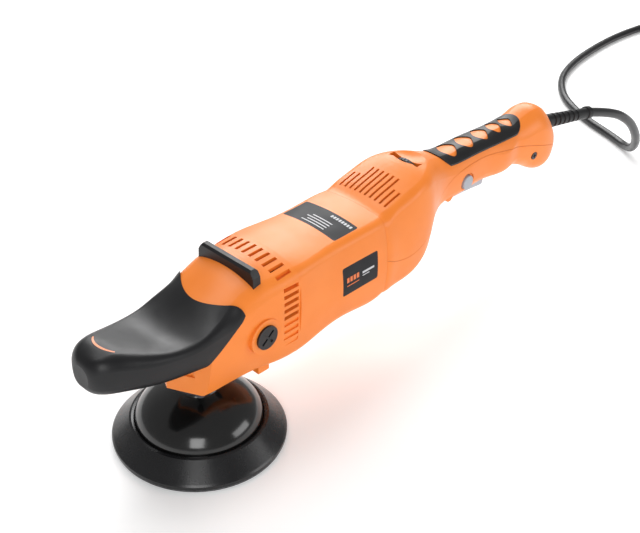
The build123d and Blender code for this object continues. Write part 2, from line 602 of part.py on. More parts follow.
with BuildPart() as motor_housing:
    add(motor_skin)
    split(bisect_by=Plane.YZ.offset(SEAM_FRONT), keep=Keep.TOP)
    add(motor_inside, mode=Mode.SUBTRACT)
    # Front wall with the fan's inlet, rings that hold the stator and the rear spider
    for x0, x1, hole in ((SEAM_FRONT, 67, 22.0), (88, 91, STATOR_RADIUS), (111, 114, STATOR_RADIUS),
                         (141, 151, 11.0)):
        with BuildPart(mode=Mode.PRIVATE) as wall:
            add(motor_inside)
            add(slab(x0, x1, -50, 50, 40, 150), mode=Mode.INTERSECT)
            add(rod((x0 - 1, 0, MOTOR_AXIS), (1, 0, 0), hole, 20), mode=Mode.SUBTRACT)
            if x0 == 141:
                for turn in range(4):
                    add(Pos(x0 - 1, 0, MOTOR_AXIS) * Rot(90 * turn + 45, 0, 0)
                        * Pos(0, 0, 24.5) * Rot(0, 90, 0) * Cylinder(
                            9.5, 12, align=(Align.CENTER, Align.CENTER, Align.MIN),
                            mode=Mode.PRIVATE), mode=Mode.SUBTRACT)
        add(wall.part)
    for y, z in CORNER_SCREWS:
        add(rod((66, y, z), (1, 0, 0), 5.0, 8))
        add(rod((60, y, z), (1, 0, 0), 2.1, 20), mode=Mode.SUBTRACT)
        add(rod((74, y, z), (1, 0, 0), 4.4, 60), mode=Mode.SUBTRACT)
    add(rod((150, 0, MOTOR_AXIS), (1, 0, 0), 6.0, 4), mode=Mode.SUBTRACT)
    add(top_label.part, mode=Mode.SUBTRACT)
    add(side_labels.part, mode=Mode.SUBTRACT)
write(motor_housing.part, "motor_housing")

with BuildPart() as housing_screws:
    for y, z in CORNER_SCREWS:
        add(rod((74, y, z), (1, 0, 0), 3.8, 3.2))
        add(rod((51, y, z), (1, 0, 0), 1.8, 24))
        add(Pos(76, y, z) * Box(3, 5.4, 1.1, mode=Mode.PRIVATE), mode=Mode.SUBTRACT)
        add(Pos(76, y, z) * Box(3, 1.1, 5.4, mode=Mode.PRIVATE), mode=Mode.SUBTRACT)
write(housing_screws.part, "housing_screws")

with BuildPart() as stator:
    add(rod((84, 0, MOTOR_AXIS), (1, 0, 0), STATOR_RADIUS, 34))
    add(rod((80, 0, MOTOR_AXIS), (1, 0, 0), 26.4, 40), mode=Mode.SUBTRACT)
    for side in (-1, 1):
        add(slab(84, 118, -15, 15, MOTOR_AXIS + side * 24.5 - 5, MOTOR_AXIS + side * 24.5 + 5)
            & rod((84, 0, MOTOR_AXIS), (1, 0, 0), 27.5, 34))
    add(rod((80, 0, MOTOR_AXIS), (1, 0, 0), CORE_RADIUS + 0.5, 40), mode=Mode.SUBTRACT)
write(stator.part, "stator")

with BuildPart() as field_windings:
    for side in (-1, 1):
        for x0, x1 in ((78.4, 83.8), (118.2, 123.6)):
            ring = rod((x0, 0, MOTOR_AXIS), (1, 0, 0), 27.5, x1 - x0)
            ring = ring - rod((x0 - 1, 0, MOTOR_AXIS), (1, 0, 0), 21.2, 10)
            edge = MOTOR_AXIS + side * 24.5
            add(ring & slab(x0, x1, -18.5, 18.5, edge - 14, edge + 14))
        for across in (-1, 1):
            bar = slab(83.8, 118.2, across * 17.6 - 2.2, across * 17.6 + 2.2,
                       MOTOR_AXIS + side * 16.5 - 3.2, MOTOR_AXIS + side * 16.5 + 3.2)
            bar = bar & rod((80, 0, MOTOR_AXIS), (1, 0, 0), 26.2, 40)
            add(bar - rod((80, 0, MOTOR_AXIS), (1, 0, 0), CORE_RADIUS + 0.9, 40))
write(field_windings.part, "field_windings")

with BuildPart() as brush_holders:
    for side in (-1, 1):
        add(slab(128, 137, side * 22 - 8.4, side * 22 + 8.4, MOTOR_AXIS - 5.5, MOTOR_AXIS + 5.5))
        add(slab(120, 150, side * 22 - 10, side * 22 + 10, MOTOR_AXIS - 3, MOTOR_AXIS + 3)
            & slab(129.6, 135.4, -40, 40, 60, 130), mode=Mode.SUBTRACT)
        # Foot that screws to the spider
        add(slab(137, 141, side * 26 - 4, side * 26 + 4, MOTOR_AXIS - 5.5, MOTOR_AXIS + 5.5))
write(brush_holders.part, "brush_holders")

with BuildPart() as brushes:
    for side in (-1, 1):
        block = slab(129.7, 135.3, side * 20 - 7.6, side * 20 + 7.6, MOTOR_AXIS - 2.9, MOTOR_AXIS + 2.9)
        add(block - rod((125, 0, MOTOR_AXIS), (1, 0, 0), 12.8, 20))
write(brushes.part, "brushes")

# ------------------------------------------------------------------ rear shells
PARTING = [(150, 96.5), (212, 97), (236, 112), (262, 120), (300, 120.5), (345, 112.5), (405, 95)]
BODY_BOSSES = [(171, -25), (171, 25)]
HANDLE_BOSS = (326.0, 0.0)
WINDOWS = [(261.5, 7.4, 10.6), (283.5, 6.9, 10.0), (304, 6.2, 9.3), (322.5, 5.6, 8.7), (339, 4.9, 7.9)]
SEAM = 0.15  # half the gap between the rear shells

with BuildPart() as handle_grip:
    with BuildSketch(Plane.XY.offset(122)):
        with BuildLine():
            Polyline((252, -14.5), (338, -14.5))
            ThreePointArc((338, -14.5), (352.5, 0), (338, 14.5))
            Polyline((338, 14.5), (252, 14.5))
            ThreePointArc((252, 14.5), (242.5, 0), (252, -14.5))
        make_face()
        for x, half_x, half_y in WINDOWS:
            with BuildLine():
                Spline((x + 1, half_y), (x - half_x, -half_y * 0.45), (x, -half_y), (x + half_x, -half_y * 0.45),
                       (x + 1, half_y), tangents=[(-1, -0.9), (-1, 0.9)])
            make_face(mode=Mode.SUBTRACT)
    extrude(amount=30)
    add(loft_through(REAR_SECTIONS, -0.9), mode=Mode.INTERSECT)
    add(rear_skin, mode=Mode.SUBTRACT)
    handle_grip.part = Part(handle_grip.part.solids().sort_by(SortBy.VOLUME)[-1].wrapped)
write(handle_grip.part, "handle_grip")

with BuildPart() as lower_region:
    with BuildSketch(Plane.XZ.offset(-60)):
        with BuildLine():
            Spline(*PARTING)
            Polyline(PARTING[-1], (420, 95), (420, 40), (150, 40), PARTING[0])
        make_face()
    extrude(amount=120)

with BuildPart() as rear_blank:
    add(rear_skin)
    add(rear_inside, mode=Mode.SUBTRACT)
    add(slab(SEAM_REAR - 1, SEAM_REAR + 0.15, -60, 60, 40, 150), mode=Mode.SUBTRACT)

with BuildPart() as rear_lower_shell:
    add(rear_blank.part)
    add(Pos(0, 0, -SEAM) * lower_region.part, mode=Mode.INTERSECT)
    for x, y in BODY_BOSSES + [HANDLE_BOSS]:
        add((rod((x, y, 50), (0, 0, 1), 5.0, 80) & rear_skin) & lower_region.part)
        add(rod((x, y, 50), (0, 0, 1), 2.0, 90), mode=Mode.SUBTRACT)
        add(rod((x, y, 50), (0, 0, 1), 3.6, 14.5 if x < 200 else 47.5), mode=Mode.SUBTRACT)
    # Trigger's opening and the bosses of its pin
    add(slab(248.5, 304.5, -10.6, 10.6, 80, 99.5), mode=Mode.SUBTRACT)
    for side in (-1, 1):
        add(rod((TRIGGER_PIVOT[0], side * 10.8, TRIGGER_PIVOT[1]), (0, side, 0), 4.5, 5.7))
    add(rod((TRIGGER_PIVOT[0], -14.4, TRIGGER_PIVOT[1]), (0, 1, 0), 2.0, 28.8), mode=Mode.SUBTRACT)
    # Lock button's hole and its sunk rim
    add(rod((LOCK_X, -30, LOCK_Z), (0, 1, 0), LOCK_RADIUS + 0.4, 20), mode=Mode.SUBTRACT)
    add(rod((LOCK_X, -30, LOCK_Z), (0, 1, 0), LOCK_RADIUS + 2.0, 13.2), mode=Mode.SUBTRACT)
    # Sunk seat of the side screw, and the lead's way out
    add(rod((362, -30, 98), (0, 1, 0), 3.6, 12), mode=Mode.SUBTRACT)
    add(rod((362, -30, 98), (0, 1, 0), 1.8, 30), mode=Mode.SUBTRACT)
    add(rod((370, 0, 110.4), (1, 0, 0), 7.2, 40), mode=Mode.SUBTRACT)
write(rear_lower_shell.part, "rear_lower_shell")

with BuildPart() as rear_upper_shell:
    add(rear_blank.part)
    add(Pos(0, 0, SEAM) * lower_region.part, mode=Mode.SUBTRACT)
    for x, y in BODY_BOSSES + [HANDLE_BOSS]:
        add((rod((x, y, 85), (0, 0, 1), 5.0, 60) & rear_skin) - lower_region.part)
        add(rod((x, y, 85), (0, 0, 1), 1.6, 35 if x < 200 else 38), mode=Mode.SUBTRACT)
    # Dial's seat: a sunk scoop over a slot
    add(slab(203, 236, -21, 21, 134.5, 150) & rear_skin)
    add(Pos(219, 0, 160) * scale(Sphere(10, mode=Mode.PRIVATE), by=(2.17, 2.8, 2.0), mode=Mode.PRIVATE), mode=Mode.SUBTRACT)
    add(slab(209.3, 215.7, -14.2, 14.2, 128, 150), mode=Mode.SUBTRACT)
    # Rear inlet slots, the outer two on each side shorter
    for step in range(10):
        x1 = 181 if step in (0, 1, 8, 9) else 191
        at = -22.5 + 5 * step
        add(slab(164, x1, at - 0.95, at + 0.95, 115, 150), mode=Mode.SUBTRACT)
    add(rod((370, 0, 110.4), (1, 0, 0), 7.2, 40), mode=Mode.SUBTRACT)
write(rear_upper_shell.part, "rear_upper_shell")

with BuildPart() as rear_shell_screws:
    for x, y in BODY_BOSSES + [HANDLE_BOSS]:
        seat = 64.5 if x < 200 else 97.5
        add(rod((x, y, seat - 2.4), (0, 0, 1), 3.2, 2.4))
        add(rod((x, y, seat), (0, 0, 1), 1.6, 50 if x < 200 else 24))
        add(Pos(x, y, seat - 2.0) * Box(4.4, 1.0, 1.6, mode=Mode.PRIVATE), mode=Mode.SUBTRACT)
        add(Pos(x, y, seat - 2.0) * Box(1.0, 4.4, 1.6, mode=Mode.PRIVATE), mode=Mode.SUBTRACT)
write(rear_shell_screws.part, "rear_shell_screws")

# ------------------------------------------------------------------ trigger, switch and lock
with BuildPart() as trigger:
    with BuildSketch(Plane.XZ.offset(-9.9)):
        with BuildLine():
            Polyline((249.6, 99), (250.8, 94.5), (258, 91.4))
            ThreePointArc((258, 91.4), (279, 90.6), (299, 88.9))
            Polyline((299, 88.9), (302.6, 90.2), (303.4, 93), (303.4, 97), (249.6, 97), (249.6, 99))
        make_face()
    extrude(amount=19.8)
    fillet(trigger.edges().filter_by(GeomType.CIRCLE), 2.4)
    with BuildSketch(Plane.XZ.offset(-6)):
        with BuildLine():
            Polyline((249.6, 96), (247.2, 99), (246.8, 101), (248.5, 105.2), (255, 105.2), (262, 103.8), (298, 103.8),
                     (300, 101), (300, 96), (249.6, 96))
        make_face()
    extrude(amount=12)
    add(rod((TRIGGER_PIVOT[0], -15, TRIGGER_PIVOT[1]), (0, 1, 0), 2.0 + RUNNING, 30), mode=Mode.SUBTRACT)
write(trigger.part, "trigger")

with BuildPart() as trigger_pin:
    add(rod((TRIGGER_PIVOT[0], -14.4, TRIGGER_PIVOT[1]), (0, 1, 0), 2.0, 28.8))
write(trigger_pin.part, "trigger_pin")

SPRING_X, SPRING_FOOT, SPRING_HEAD = 285.0, 103.8, 112.0
with BuildPart() as trigger_spring:
    with BuildLine() as spring_line:
        Helix(pitch=2.2, height=SPRING_HEAD - SPRING_FOOT - 1.4, radius=3.2,
              center=(SPRING_X, 0, SPRING_FOOT + 0.7))
    with BuildSketch(Plane(origin=spring_line.line @ 0, z_dir=spring_line.line % 0)):
        Circle(0.5)
    sweep(is_frenet=True)
write(trigger_spring.part, "trigger_spring")

with BuildPart() as switch_body:
    add(slab(262, 300, -8.2, 8.2, SPRING_HEAD, 124.5))
    fillet(switch_body.edges().filter_by(Axis.Z), 1.2)
    for x in (266, 271, 290, 295):
        add(slab(x - 0.6, x + 0.6, -3, 3, 124.5, 127))
    add(rod((276.5, 0, SPRING_HEAD), (0, 0, -1), 2.6, 3.2))
write(switch_body.part, "switch_body")

with BuildPart() as lock_button:
    add(rod((LOCK_X, -19.3, LOCK_Z), (0, 1, 0), LOCK_RADIUS, 6.8))
    fillet(lock_button.edges().sort_by(Axis.Y)[0], 0.9)
    add(rod((LOCK_X, -12.6, LOCK_Z), (0, 1, 0), LOCK_RADIUS + 0.9, 1.0))
write(lock_button.part, "lock_button")

# ------------------------------------------------------------------ speed dial
with BuildPart() as speed_dial:
    add(rod((DIAL_X - 2.2, 0, DIAL_Z), (1, 0, 0), DIAL_RADIUS, 4.4))
    chamfer(speed_dial.edges().filter_by(GeomType.CIRCLE), 0.5)
    for flute in range(30):
        turned = Pos(DIAL_X, 0, DIAL_Z) * Rot(12 * flute, 0, 0)
        add(turned * slab(-3, 3, -0.6, 0.6, DIAL_RADIUS - 0.5, DIAL_RADIUS + 1), mode=Mode.SUBTRACT)
    add(rod((DIAL_X - 5, 0, DIAL_Z), (1, 0, 0), 2.06, 10), mode=Mode.SUBTRACT)
write(speed_dial.part, "speed_dial")

with BuildPart() as speed_pot:
    add(slab(199.5, 209, -7, 7, 119, 134.3))
    add(rod((209, 0, DIAL_Z), (1, 0, 0), 2.0, 6.5))
write(speed_pot.part, "speed_pot")

with BuildPart() as control_board:
    add(slab(160, 209, -17, 17, 117.2, 119))
    add(slab(163, 179, -14, 2, 119, 127))
    add(slab(182, 191, -12, -3, 119, 128))
    for y in (5, 13):
        add(rod((186, y, 119), (0, 0, 1), 3.6, 9))
    # Posts that carry the board on the lower shell's walls
    for y in (-15, 15):
        add(slab(194, 198, y - 2, y + 2, 97.5, 117.2))
write(control_board.part, "control_board")

# ------------------------------------------------------------------ spindle lock on the far side
with BuildPart() as spindle_lock:
    add(rod((0, 37.6, LOCK_HOLE_Z), (0, -1, 0), 6.0, 3.0))
    fillet(spindle_lock.edges().sort_by(Axis.Y)[-1], 1.0)
    add(rod((0, 35, LOCK_HOLE_Z), (0, -1, 0), 3.2, 14.2))
write(spindle_lock.part, "spindle_lock")

# ------------------------------------------------------------------ mains lead
with BuildPart() as cord_clamp:
    add(slab(356, 369, -11, 11, 94, 104))
    add(rod((350, 0, 105.5), (1, 0, 0), CORD_RADIUS, 30), mode=Mode.SUBTRACT)
    add(rod((362, -30, 98), (0, 1, 0), 1.4, 30), mode=Mode.SUBTRACT)
write(cord_clamp.part, "cord_clamp")

with BuildPart() as clamp_screw:
    add(rod((362, -19.8, 98), (0, 1, 0), 3.2, 1.8))
    add(rod((362, -18.2, 98), (0, 1, 0), 1.4, 14))
    add(Pos(362, -19.4, 98) * Box(4.2, 1.4, 1.0, mode=Mode.PRIVATE), mode=Mode.SUBTRACT)
    add(Pos(362, -19.4, 98) * Box(1.0, 1.4, 4.2, mode=Mode.PRIVATE), mode=Mode.SUBTRACT)
write(clamp_screw.part, "clamp_screw")

boot_run = Vector(*BOOT_END) - Vector(*BOOT_START)
boot_plane = Plane(origin=BOOT_START, x_dir=boot_run, z_dir=boot_run.cross(Vector(0, 0, 1)))
BOOT_GROOVES = 6
BOOT_PITCH = 6.4
with BuildPart() as cord_boot:
    with BuildSketch(boot_plane):
        with BuildLine():
            outline = [(-6, 0), (-6, 6.2), (12, 6.2)]
            for groove in range(BOOT_GROOVES):
                at = 12 + BOOT_PITCH * groove
                wide = 6.2 - 0.16 * groove
                outline += [(at + 0.4, wide - 0.9), (at + 2.4, wide - 0.9), (at + 2.8, wide - 0.1),
                            (at + BOOT_PITCH, wide - 0.16)]
            end = boot_run.length
            outline += [(end - 5.5, 5.1), (end - 5.0, 6.0), (end - 0.6, 6.0), (end, 5.4), (end, 0), (-6, 0)]
            Polyline(*outline)
        make_face()
    revolve(axis=Axis(BOOT_START, boot_run))
write(cord_boot.part, "cord_boot")

corners = [Vector(*point) for point in CORD_ROUTE]
radii = []
for before, corner, after in zip(corners, corners[1:], corners[2:]):
    arriving, leaving = corner - before, after - corner
    half_turn = radians(arriving.get_angle(leaving)) / 2
    radii.append(0.45 * min(arriving.length, leaving.length) / tan(half_turn))
print("lead radii", [round(r) for r in radii])
with BuildPart() as mains_lead:
    with BuildLine() as lead_line:
        FilletPolyline(*corners, radius=radii)
    with BuildSketch(Plane(origin=corners[0], z_dir=corners[1] - corners[0])):
        Circle(CORD_RADIUS)
    sweep()
lead_length = sum(edge.length for edge in lead_line.edges())
print("lead", lead_length, mains_lead.part.volume / (pi * CORD_RADIUS**2 * lead_length))
write(mains_lead.part, "mains_lead")

with BuildPart() as lead_coil:
    with BuildSketch():
        with Locations(COIL_CENTRE):
            Circle(COIL_OUTER)
            Circle(COIL_INNER, mode=Mode.SUBTRACT)
    extrude(amount=COIL_HEIGHT)
    fillet(lead_coil.edges().filter_by(GeomType.CIRCLE), 4)
write(lead_coil.part, "lead_coil")

PLUG_AT = (COIL_CENTRE[0] + 84.0, COIL_CENTRE[1], 12.5)
with BuildPart() as mains_plug:
    with BuildSketch(Plane.XZ.offset(-(PLUG_AT[1] + 12))) as plug_foot:
        with Locations((PLUG_AT[0], 13)):
            RectangleRounded(25.5, 25.5, 6)
    extrude(amount=24)
    with BuildSketch(Plane.XZ.offset(-(PLUG_AT[1] - 12))):
        with Locations((PLUG_AT[0], 13)):
            Circle(18.0)
    extrude(amount=8)
    with BuildSketch(Plane.XZ.offset(-(PLUG_AT[1] + 12))):
        with Locations((PLUG_AT[0], 13)):
            Circle(6.5)
    extrude(amount=-22, taper=6)
    add(slab(1000, 1120, 60, 180, -20, 0), mode=Mode.SUBTRACT)
write(mains_plug.part, "mains_plug")

with BuildPart() as plug_pins:
    for side in (-1, 1):
        start = (PLUG_AT[0] + side * 9.5, PLUG_AT[1] - 20, 13)
        add(rod(start, (0, -1, 0), 2.4, 19))
    chamfer(plug_pins.edges().group_by(Axis.Y)[0], 0.8)
write(plug_pins.part, "plug_pins")
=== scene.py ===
"""Looks of the rotary polisher: camera, mains lead, materials, fine pieces and soft light."""

import json
from math import cos, pi, radians, sin

import bmesh
import bpy
from mathutils import Matrix, Vector
from mathutils.geometry import interpolate_bezier


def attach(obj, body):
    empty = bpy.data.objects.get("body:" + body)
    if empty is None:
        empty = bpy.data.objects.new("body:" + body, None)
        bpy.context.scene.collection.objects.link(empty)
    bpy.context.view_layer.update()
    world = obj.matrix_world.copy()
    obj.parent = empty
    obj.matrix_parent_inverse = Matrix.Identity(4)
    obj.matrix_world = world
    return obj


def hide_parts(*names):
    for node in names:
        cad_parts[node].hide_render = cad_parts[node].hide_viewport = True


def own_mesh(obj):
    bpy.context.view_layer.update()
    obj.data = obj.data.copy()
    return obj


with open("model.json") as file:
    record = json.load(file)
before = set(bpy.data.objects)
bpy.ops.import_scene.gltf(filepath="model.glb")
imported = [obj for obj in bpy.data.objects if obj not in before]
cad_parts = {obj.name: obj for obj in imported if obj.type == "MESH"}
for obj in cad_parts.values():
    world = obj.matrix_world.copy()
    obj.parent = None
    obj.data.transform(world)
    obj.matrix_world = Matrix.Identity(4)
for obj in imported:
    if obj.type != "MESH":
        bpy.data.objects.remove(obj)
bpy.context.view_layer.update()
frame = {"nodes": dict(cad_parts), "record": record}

# Camera: where it stands, how it looks down, and its lens
CAMERA_AT = Vector((-0.39321, -0.49044, 0.55924))
CAMERA_HEADING = radians(46.35)  # turned from +Y towards +X
CAMERA_DOWN = radians(33.636)
CAMERA_ROLL = radians(1.34)
CAMERA_LENS = 64.69
SENSOR_WIDTH = 36

# The lead's route from the boot, and its coil, in metres
LEAD_RADIUS = 0.00425
LEAD_ROUTE = [
    (0.4615, -0.0080, 0.1015), (0.4950, -0.0135, 0.0930), (0.5265, -0.0160, 0.0740),
    (0.5525, -0.0120, 0.0490), (0.5750, -0.0020, 0.0245), (0.5960, 0.0155, 0.0063),
    (0.6115, 0.0445, 0.0044), (0.6225, 0.0785, 0.0044), (0.6380, 0.1110, 0.0044),
    (0.6600, 0.1410, 0.0044), (0.6970, 0.1680, 0.0044), (0.7440, 0.1830, 0.0044),
    (0.7970, 0.1900, 0.0044), (0.8500, 0.1920, 0.0044), (0.9020, 0.1870, 0.0044),
    (0.9380, 0.1735, 0.0060),
]
COIL_CENTRE = (0.962, 0.118)
# Each turn's radius and height: inwards on the floor, back outwards on those, and two on top
COIL_TURNS = [(0.0556, 0.0044), (0.0472, 0.0044), (0.0388, 0.0044), (0.0388, 0.0128),
              (0.0472, 0.0128), (0.0556, 0.0128), (0.0388, 0.0212), (0.0472, 0.0212)]
COIL_START = radians(92)
POINTS_PER_TURN = 16
STEP_ACROSS_FROM = 0.6  # share of a turn after which it moves to the next turn's radius
STEP_UP_FROM = 0.2  # the same where it moves to the next layer
RISE = 0.4  # share of a step that is spent rising, before it crosses the turns below
LEAD_END = [
    (0.9600, 0.1690, 0.0212), (0.9840, 0.1830, 0.0175), (1.0100, 0.1870, 0.0140),
    (1.0320, 0.1790, 0.0130), (1.0445, 0.1640, 0.0130), (1.0460, 0.1500, 0.0130),
]


def place_camera():
    """Camera turned by heading, pitch and roll."""
    level = Vector((cos(CAMERA_HEADING), -sin(CAMERA_HEADING), 0))
    ahead = Vector((sin(CAMERA_HEADING), cos(CAMERA_HEADING), 0))
    forward = ahead * cos(CAMERA_DOWN) - Vector((0, 0, sin(CAMERA_DOWN)))
    above = ahead * sin(CAMERA_DOWN) + Vector((0, 0, cos(CAMERA_DOWN)))
    right = level * cos(CAMERA_ROLL) + above * sin(CAMERA_ROLL)
    up = above * cos(CAMERA_ROLL) - level * sin(CAMERA_ROLL)
    data = bpy.data.cameras.new("camera")
    data.lens = CAMERA_LENS
    data.sensor_width = SENSOR_WIDTH
    data.clip_start = 0.01
    camera = bpy.data.objects.new("camera", data)
    turned = Matrix((right, up, -forward)).transposed().to_4x4()
    camera.matrix_world = Matrix.Translation(CAMERA_AT) @ turned
    bpy.context.scene.collection.objects.link(camera)
    bpy.context.scene.camera = camera


def coil_points():
    """Turns of the coil, clockwise from above."""
    points = []
    count = len(COIL_TURNS) * POINTS_PER_TURN
    for step in range(count - 1):
        turn, along = divmod(step, POINTS_PER_TURN)
        radius, height = COIL_TURNS[turn]
        if turn + 1 < len(COIL_TURNS):
            next_radius, next_height = COIL_TURNS[turn + 1]
            climbs = next_height > height
            begin = STEP_UP_FROM if climbs else STEP_ACROSS_FROM
            share = max(0.0, (along / POINTS_PER_TURN - begin) / (1 - begin))
            across = max(0.0, (share - RISE) / (1 - RISE)) if climbs else share
            height += (next_height - height) * min(1.0, share / RISE)
            radius += (next_radius - radius) * across
        angle = COIL_START - 2 * pi * step / POINTS_PER_TURN
        x = COIL_CENTRE[0] + radius * cos(angle)
        y = COIL_CENTRE[1] + radius * sin(angle)
        points.append((x, y, height))
    return points


def link(name, data):
    """New object in the scene."""
    piece = bpy.data.objects.new(name, data)
    bpy.context.scene.collection.objects.link(piece)
    return piece


def make_lead():
    """The mains lead as one NURBS line with a round section."""
    points = LEAD_ROUTE + coil_points() + LEAD_END
    curve = bpy.data.curves.new("lead", "CURVE")
    curve.dimensions = "3D"
    curve.resolution_u = 10
    curve.bevel_depth = 1  # the points' own radius gives the thickness
    curve.bevel_resolution = 6
    curve.use_fill_caps = True
    spline = curve.splines.new("NURBS")
    spline.points.add(len(points) - 1)
    for spot, (x, y, z) in zip(spline.points, points):
        spot.co = (x, y, z, 1)
        spot.radius = LEAD_RADIUS
    spline.order_u = 3
    spline.use_endpoint_u = True
    lead = link("lead", curve)
    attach(lead, "housing")
    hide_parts("mains_lead", "lead_coil")
    return lead


# ------------------------------------------------------------------ materials
def start_material(name):
    """New material, with its node tree, shader and object coordinates."""
    material = bpy.data.materials.new(name)
    material.use_nodes = True
    tree = material.node_tree
    shader = tree.nodes["Principled BSDF"]
    where = tree.nodes.new("ShaderNodeTexCoord").outputs["Object"]
    return material, tree, shader, where


def noise(tree, where, scale, detail=2.0):
    """Noise texture at a scale in turns per metre."""
    node = tree.nodes.new("ShaderNodeTexNoise")
    node.inputs["Scale"].default_value = scale
    node.inputs["Detail"].default_value = detail
    tree.links.new(where, node.inputs["Vector"])
    return node.outputs["Fac"]


def spread(tree, value, low, high):
    """Map a 0.3 to 0.7 value onto a range."""
    node = tree.nodes.new("ShaderNodeMapRange")
    node.inputs["From Min"].default_value = 0.3
    node.inputs["From Max"].default_value = 0.7
    node.inputs["To Min"].default_value = low
    node.inputs["To Max"].default_value = high
    tree.links.new(value, node.inputs["Value"])
    return node.outputs["Result"]


def bump(tree, shader, height, distance, strength=1.0):
    """Bump of a height in metres on the shader's normal."""
    node = tree.nodes.new("ShaderNodeBump")
    node.inputs["Strength"].default_value = strength
    node.inputs["Distance"].default_value = distance
    tree.links.new(height, node.inputs["Height"])
    tree.links.new(node.outputs["Normal"], shader.inputs["Normal"])


def tint(tree, shader, value, dark, light):
    """Colour between two tones by a value."""
    mix = tree.nodes.new("ShaderNodeMix")
    mix.data_type = "RGBA"
    mix.inputs["A"].default_value = (*dark, 1)
    mix.inputs["B"].default_value = (*light, 1)
    tree.links.new(spread(tree, value, 0, 1), mix.inputs["Factor"])
    tree.links.new(mix.outputs["Result"], shader.inputs["Base Color"])


def moulded(name, dark, light, roughness, grain=1400, depth=0.00003, coat=0.0, specular=0.5, metal=0.0):
    """Moulded, cast or ground surface: two close tones, uneven gloss and a fine grain."""
    material, tree, shader, where = start_material(name)
    tint(tree, shader, noise(tree, where, 40), dark, light)
    cloud = noise(tree, where, 90, 3)
    tree.links.new(spread(tree, cloud, roughness - 0.04, roughness + 0.04), shader.inputs["Roughness"])
    bump(tree, shader, noise(tree, where, grain, 3), depth)
    shader.inputs["Coat Weight"].default_value = coat
    shader.inputs["Coat Roughness"].default_value = 0.12
    shader.inputs["Specular IOR Level"].default_value = specular
    shader.inputs["Metallic"].default_value = metal
    return material


def turned_steel(name, tone, roughness):
    """Turned steel with fine rings of tool marks."""
    material, tree, shader, where = start_material(name)
    wave = tree.nodes.new("ShaderNodeTexWave")
    wave.wave_type = "RINGS"
    wave.rings_direction = "Z"
    wave.inputs["Scale"].default_value = 900
    wave.inputs["Distortion"].default_value = 0.6
    tree.links.new(where, wave.inputs["Vector"])
    tint(tree, shader, noise(tree, where, 200), [c * 0.85 for c in tone], tone)
    bump(tree, shader, wave.outputs["Fac"], 0.000015)
    cloud = noise(tree, where, 300, 3)
    tree.links.new(spread(tree, cloud, roughness - 0.06, roughness + 0.06), shader.inputs["Roughness"])
    shader.inputs["Metallic"].default_value = 1.0
    return material


def hook_cloth(name):
    """Hook layer: a tight grid of short hooks."""
    material, tree, shader, where = start_material(name)
    cells = tree.nodes.new("ShaderNodeTexVoronoi")
    cells.inputs["Scale"].default_value = 900
    tree.links.new(where, cells.inputs["Vector"])
    tint(tree, shader, cells.outputs["Distance"], (0.02, 0.02, 0.022), (0.09, 0.09, 0.095))
    bump(tree, shader, cells.outputs["Distance"], 0.0004)
    shader.inputs["Roughness"].default_value = 0.8
    shader.inputs["Sheen Weight"].default_value = 0.3
    return material


MATERIALS = {
    "orange_plastic": moulded("orange_plastic", (0.87, 0.225, 0.028), (0.91, 0.245, 0.034), 0.36,
                              grain=2200, depth=0.000012, specular=0.38),
    "black_rubber": moulded("black_rubber", (0.005, 0.005, 0.006), (0.008, 0.008, 0.009), 0.40,
                            grain=2600, depth=0.00003, specular=0.36),
    "black_plastic": moulded("black_plastic", (0.006, 0.006, 0.007), (0.010, 0.010, 0.011), 0.36,
                             specular=0.4),
    "gloss_black": moulded("gloss_black", (0.003, 0.003, 0.003), (0.005, 0.005, 0.005), 0.17,
                           grain=500, depth=0.000006, coat=0.25),
    "grey_plastic": moulded("grey_plastic", (0.36, 0.38, 0.42), (0.42, 0.44, 0.48), 0.42),
    "white_plastic": moulded("white_plastic", (0.68, 0.68, 0.64), (0.74, 0.74, 0.7), 0.45),
    "foam": moulded("foam", (0.004, 0.004, 0.005), (0.007, 0.007, 0.008), 0.27, grain=1800, depth=0.00002),
    "steel": turned_steel("steel", (0.62, 0.62, 0.63), 0.28),
    "dark_steel": turned_steel("dark_steel", (0.09, 0.09, 0.10), 0.34),
    "aluminium": moulded("aluminium", (0.62, 0.62, 0.63), (0.70, 0.70, 0.71), 0.42, grain=900,
                         depth=0.00006, metal=1.0),
    "copper": moulded("copper", (0.62, 0.27, 0.12), (0.72, 0.33, 0.15), 0.3, grain=1200, metal=1.0),
    "carbon": moulded("carbon", (0.02, 0.02, 0.02), (0.03, 0.03, 0.03), 0.5),
    "label": moulded("label", (0.010, 0.011, 0.013), (0.016, 0.017, 0.020), 0.5, depth=0.000004,
                     specular=0.22),
    "cord_rubber": moulded("cord_rubber", (0.006, 0.006, 0.007), (0.010, 0.010, 0.011), 0.34, grain=1600,
                           depth=0.00002),
    "green_board": moulded("green_board", (0.015, 0.13, 0.05), (0.02, 0.17, 0.07), 0.35),
    "hook_fabric": hook_cloth("hook_fabric"),
}
EXTRA = {
    "inlay": moulded("inlay", (0.86, 0.26, 0.10), (0.90, 0.29, 0.12), 0.38),
    "print_white": moulded("print_white", (0.55, 0.56, 0.58), (0.62, 0.63, 0.65), 0.4),
    "print_orange": moulded("print_orange", (0.75, 0.16, 0.03), (0.8, 0.18, 0.04), 0.4),
}


def dress(piece, material):
    """Give a piece one material."""
    piece.data.materials.clear()
    piece.data.materials.append(material)


def dress_frame():
    """Give each CAD node its slot's material."""
    for part in frame["record"]["subparts"]:
        node = frame["nodes"][part["node"]]
        material = MATERIALS[part["material_slot"]]
        if part["node"] == "nose_inlay":
            material = EXTRA["inlay"]
        for spot in node.material_slots:
            spot.material = material
        if not node.material_slots:
            node.data.materials.append(material)


